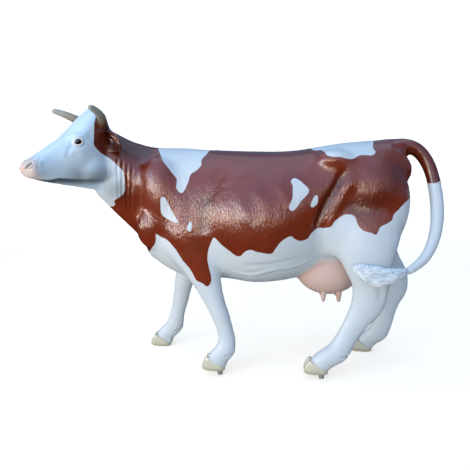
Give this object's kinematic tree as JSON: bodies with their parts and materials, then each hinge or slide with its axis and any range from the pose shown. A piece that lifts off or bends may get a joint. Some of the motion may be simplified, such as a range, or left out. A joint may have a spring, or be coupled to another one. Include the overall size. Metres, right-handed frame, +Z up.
{
  "type": "cow statue",
  "caption": "Life-size painted glass-fibre statue of a horned red-and-white cow walking with its head turned left, its hair sculpted in relief, standing on its hooves and short mounting pegs.",
  "frame": {"origin": "on the floor, midway between the foremost and rearmost points and between the two side extremes", "axes": "+X towards the tail, so the cow walks to -X; +Y towards its right side; +Z up"},
  "size_m": [2.4062, 0.8456, 1.6278],
  "materials": {
    "coat": "gloss paint over glass fibre with sculpted hair, red-brown with white patches, face, belly and legs",
    "switch": "gloss white paint over sculpted locks",
    "horn": "gloss grey-green paint, browner at the root",
    "eye": "high-gloss dark paint under clear varnish",
    "udder": "gloss pink-beige paint",
    "hoof": "gloss pale grey paint",
    "peg": "dull bare steel"
  },
  "bodies": {
    "root": {"head": "coat", "neck": "coat", "chest": "coat", "barrel": "coat", "hindquarters": "coat", "tail_root": "coat", "tail_middle": "coat", "tail_lower": "coat", "fore_left_upper": "coat", "fore_left_lower": "coat", "fore_right_upper": "coat", "fore_right_lower": "coat", "hind_left_upper": "coat", "hind_left_lower": "coat", "hind_right_upper": "coat", "hind_right_lower": "coat", "ear_left": "coat", "ear_right": "coat", "tail_switch": "switch", "horn_left": "horn", "horn_right": "horn", "eye_left": "eye", "eye_right": "eye", "udder": "udder", "teat_fore_left": "udder", "teat_fore_right": "udder", "teat_hind_left": "udder", "teat_hind_right": "udder", "fore_left_claw_inner": "hoof", "fore_left_claw_outer": "hoof", "fore_right_claw_inner": "hoof", "fore_right_claw_outer": "hoof", "hind_left_claw_inner": "hoof", "hind_left_claw_outer": "hoof", "hind_right_claw_inner": "hoof", "hind_right_claw_outer": "hoof", "fore_left_peg": "peg", "hind_left_peg": "peg"}
  },
  "joints": []
}
